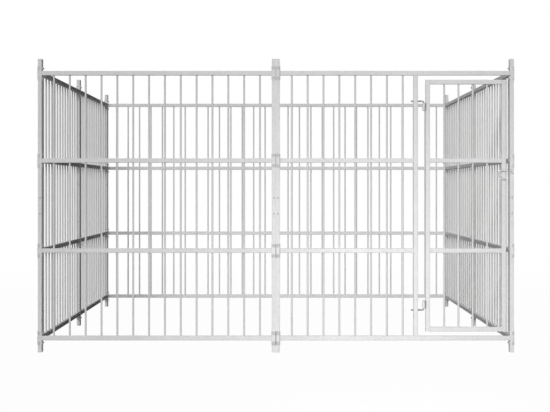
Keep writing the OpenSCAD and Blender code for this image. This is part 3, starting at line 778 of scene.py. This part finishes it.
class KENNEL_OT_cut_threads(Operator):
    """Winds the threads that show on the hinge hooks and past the joint bolts' nuts."""

    bl_idname = "kennel.cut_threads"
    bl_label = "Cut the threads"

    def execute(self, context):
        plated = bpy.data.materials.get("zinc_plated_steel_turned")
        tarnished = bpy.data.materials.get("zinc_plated_steel_tarnished")
        if plated is None or tarnished is None:
            raise RuntimeError("the hardware is plated before its threads are cut")
        self.hook_threads(tarnished)
        for side, inward in (("front", Y), ("back", -Y), ("left", X), ("right", -X)):
            self.bolt_threads(side, inward, plated)
        return {"FINISHED"}

    def hook_threads(self, tarnished):
        """Threads past the jamb, and from the rivet nuts' rims as far as the bend."""
        pitch = 1.5 * MM
        low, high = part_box("hinge_hooks")
        jamb_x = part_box("door_jamb")[0].x
        rim_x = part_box("hook_nuts")[1].x
        axis_y = (low.y + high.y) / 2
        bend_x = high.x - HOOK_RADIUS - HOOK_BEND
        bm = bmesh.new()
        for z in (low.z + HOOK_RADIUS, high.z - HOOK_RADIUS):
            for x0, x1 in ((low.x, jamb_x), (rim_x, bend_x - pitch)):
                thread(bm, Vector((x0, axis_y, z)), X, x1 - x0, HOOK_RADIUS, pitch)
        make_piece("hook_threads", bm, "root", tarnished)

    def bolt_threads(self, side, inward, plated):
        """Thread on the end of each joint bolt of one side of the pen."""
        pitch = 1.0 * MM
        low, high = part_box(f"{side}_joint_bolts")
        tip = high if inward.x + inward.y > 0 else low
        across, seams = (X, (0.0,)) if abs(inward.y) > 0.5 else (Y, SIDE_SEAMS)
        bm = bmesh.new()
        for seam in seams:
            for z in RAIL_HEIGHTS:
                for row in (-BOLT_ROW, BOLT_ROW):
                    for post in (-SEAM_TO_POST, SEAM_TO_POST):
                        end = across * (seam + post) + Z * (z + row) + inward * tip.dot(inward)
                        thread(bm, end - inward * BOLT_PAST_NUT, inward, BOLT_PAST_NUT, BOLT_RADIUS, pitch)
        make_piece(f"{side}_bolt_threads", bm, "root", plated)


class KENNEL_OT_plug_holes(Operator):
    """Closes the posts' spare holes at half height with domed plugs."""

    bl_idname = "kennel.plug_holes"
    bl_label = "Plug the spare holes"

    def execute(self, context):
        detail = context.scene.kennel_detail
        plastic = bpy.data.materials.get("moulded_polyethylene")
        if plastic is None:
            raise RuntimeError("the end plugs are moulded before the hole plugs")
        for panel in PANELS:
            low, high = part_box(panel + "_posts")
            middle = (low + high) / 2
            axis = panel_axis(low, high)
            across_pen = axis == X
            out = Y * math.copysign(1, middle.y) if across_pen else X * math.copysign(1, middle.x)
            bm = bmesh.new()
            for at_high in (False, True):
                inward = -axis if at_high else axis
                post = node_end(low, high, axis, at_high) + inward * (POST / 2)
                # A side panel's post stands against the inner face of a corner post.
                inner_free = not across_pen or abs(post.x) < POST
                for rise in (-FACE_HOLE_RISE, FACE_HOLE_RISE):
                    hole = post + Z * rise
                    hole_plug(bm, hole + out * (POST / 2), out, detail)
                    if inner_free:
                        hole_plug(bm, hole - out * (POST / 2), -out, detail)
                if not across_pen:
                    for rise in (-EDGE_HOLE_RISE, EDGE_HOLE_RISE):
                        hole_plug(bm, post + Z * rise + inward * (POST / 2), inward, detail)
            make_piece(panel + "_hole_plugs", bm, "root", plastic)
        return {"FINISHED"}


def seen_directly(tree):
    """Factor of 1 for what the camera sees straight, in a reflection or through glass."""
    path = add_node(tree, "ShaderNodeLightPath")
    mirrored = add_node(tree, "ShaderNodeMath", {
        0: path.outputs["Is Camera Ray"], 1: path.outputs["Is Glossy Ray"]},
        operation="ADD", use_clamp=True)
    return add_node(tree, "ShaderNodeMath", {
        0: mirrored.outputs["Value"], 1: path.outputs["Is Transmission Ray"]},
        operation="ADD", use_clamp=True).outputs["Value"]


class KENNEL_OT_set_studio(Operator):
    """Makes the white floor and surroundings, the lamps and the camera."""

    bl_idname = "kennel.set_studio"
    bl_label = "Set the studio"

    def execute(self, context):
        studio = context.scene.kennel_studio
        self.lay_floor(context, studio)
        self.light_surroundings(context, studio)
        for name, place, power in (
                ("key_lamp", KEY_PLACE, studio.key_power), ("side_lamp", SIDE_PLACE, studio.side_power)):
            far = self.hang_lamp(context, name, "SUN", place, PEN_MIDDLE, power)
            far.data.angle = FAR_LAMP_SPREAD
            far.visible_glossy = False
        fill = self.hang_lamp(context, "fill_lamp", "AREA", FILL_PLACE, FILL_AIM, studio.fill_power)
        fill.data.size = FILL_PANE
        self.link_lamp(context, fill, SIDE_RAILS, lit=False)
        back = self.hang_lamp(context, "back_lamp", "AREA", BACK_PLACE, PEN_MIDDLE, studio.back_power)
        back.data.size = LARGE_PANE
        right = self.hang_lamp(context, "right_lamp", "AREA", RIGHT_PLACE, PEN_MIDDLE, studio.right_power)
        right.data.size = LARGE_PANE
        self.link_lamp(context, right, RIGHT_SIDE)
        low = self.hang_lamp(context, "low_lamp", "AREA", LOW_PLACE, LOW_AIM, studio.low_power)
        low.data.shape = "RECTANGLE"
        low.data.size, low.data.size_y = LOW_PANE
        self.link_lamp(context, low, BACK_SIDE)
        self.place_camera(context, studio)
        context.scene.view_settings.view_transform = "Standard"
        return {"FINISHED"}

    def link_lamp(self, context, lamp, starts, lit=True):
        """Keeps a lamp to the pieces whose names start so, or off those pieces."""
        receivers = bpy.data.collections.new(lamp.name + "_receivers")
        for piece in context.scene.objects:
            if piece.type == "MESH" and piece.name.startswith(starts) == lit:
                receivers.objects.link(piece)
        lamp.light_linking.receiver_collection = receivers

    def lay_floor(self, context, studio):
        """Painted floor, whiter for the camera than for the light that it bounces."""
        half = 60
        mesh = bpy.data.meshes.new("studio_floor")
        mesh.from_pydata([(-half, -half, 0), (half, -half, 0), (half, half, 0), (-half, half, 0)],
                         [], [(0, 1, 2, 3)])
        floor = bpy.data.objects.new("studio_floor", mesh)
        context.scene.collection.objects.link(floor)
        material, tree = empty_material("white_studio_floor")
        paint = add_node(tree, "ShaderNodeBsdfDiffuse", {"Color": (*studio.floor_colour, 1)})
        white = add_node(tree, "ShaderNodeEmission", {"Color": (1, 1, 1, 1), "Strength": 1.0})
        # The white grows to full from 3 m to 8 m off, so no far edge shows.
        place = add_node(tree, "ShaderNodeTexCoord").outputs["Object"]
        away = add_node(tree, "ShaderNodeVectorMath", {0: place}, operation="LENGTH")
        glow = add_node(tree, "ShaderNodeMapRange", {
            "Value": away.outputs["Value"], "From Min": 3.0, "From Max": 8.0,
            "To Min": studio.floor_glow, "To Max": 1.0})
        share = add_node(tree, "ShaderNodeMath", {
            0: seen_directly(tree), 1: glow.outputs["Result"]}, operation="MULTIPLY")
        mixed = add_node(tree, "ShaderNodeMixShader", {
            0: share.outputs["Value"], 1: paint.outputs["BSDF"], 2: white.outputs["Emission"]})
        add_node(tree, "ShaderNodeOutputMaterial", {"Surface": mixed.outputs["Shader"]})
        mesh.materials.append(material)

    def light_surroundings(self, context, studio):
        """Even light from all sides, seen as plain white."""
        world = bpy.data.worlds.new("white_surroundings")
        world.use_nodes = True
        tree = world.node_tree
        tree.nodes.clear()
        light = add_node(tree, "ShaderNodeBackground", {
            "Color": (1, 1, 1, 1), "Strength": studio.ambient})
        white = add_node(tree, "ShaderNodeBackground", {"Color": (1, 1, 1, 1), "Strength": 1.0})
        mixed = add_node(tree, "ShaderNodeMixShader", {
            0: seen_directly(tree), 1: light.outputs["Background"], 2: white.outputs["Background"]})
        add_node(tree, "ShaderNodeOutputWorld", {"Surface": mixed.outputs["Shader"]})
        context.scene.world = world

    def hang_lamp(self, context, name, kind, place, aim, power):
        """Lamp at a place, turned to face a point."""
        lamp = bpy.data.lights.new(name, kind)
        lamp.energy = power
        holder = bpy.data.objects.new(name, lamp)
        holder.location = place
        holder.rotation_euler = (aim - place).to_track_quat("-Z", "Y").to_euler()
        context.scene.collection.objects.link(holder)
        return holder

    def place_camera(self, context, studio):
        """Level camera before the door side, shifted to the picture's framing."""
        camera = bpy.data.cameras.new("camera")
        camera.lens = studio.lens
        camera.sensor_width = 36
        camera.shift_x, camera.shift_y = CAMERA_SHIFT
        holder = bpy.data.objects.new("camera", camera)
        holder.location = studio.camera_place
        holder.rotation_euler = (math.radians(90), 0, 0)
        context.scene.collection.objects.link(holder)
        context.scene.camera = holder


GROUPS = {
    "kennel_finish": KennelFinish,
    "kennel_detail": KennelDetail,
    "kennel_studio": KennelStudio,
}
OPERATORS = (
    KENNEL_OT_dip_tubes,
    KENNEL_OT_plate_hardware,
    KENNEL_OT_mould_plugs,
    KENNEL_OT_weld_panels,
    KENNEL_OT_weld_door,
    KENNEL_OT_cut_threads,
    KENNEL_OT_plug_holes,
    KENNEL_OT_set_studio,
)


class KENNEL_PT_run(Panel):
    """Lists the kennel's steps and sizes."""

    bl_idname = "KENNEL_PT_run"
    bl_label = "Kennel run"
    bl_space_type = "VIEW_3D"
    bl_region_type = "UI"
    bl_category = "Kennel"

    def draw(self, context):
        for operator in OPERATORS:
            self.layout.operator(operator.bl_idname)
        for name, group in GROUPS.items():
            box = self.layout.box()
            for value in group.__annotations__:
                box.prop(getattr(context.scene, name), value)


def register():
    """Registers the groups, operators and panel."""
    for kind in (*GROUPS.values(), *OPERATORS, KENNEL_PT_run):
        bpy.utils.register_class(kind)
    for name, group in GROUPS.items():
        setattr(bpy.types.Scene, name, PointerProperty(type=group))


def unregister():
    """Removes what register added."""
    for name in GROUPS:
        delattr(bpy.types.Scene, name)
    for kind in reversed((*GROUPS.values(), *OPERATORS, KENNEL_PT_run)):
        bpy.utils.unregister_class(kind)


def main():
    """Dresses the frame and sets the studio."""
    register()
    for operator in OPERATORS:
        group, name = operator.bl_idname.split(".")
        getattr(getattr(bpy.ops, group), name)()


if __name__ == "__main__":
    main()
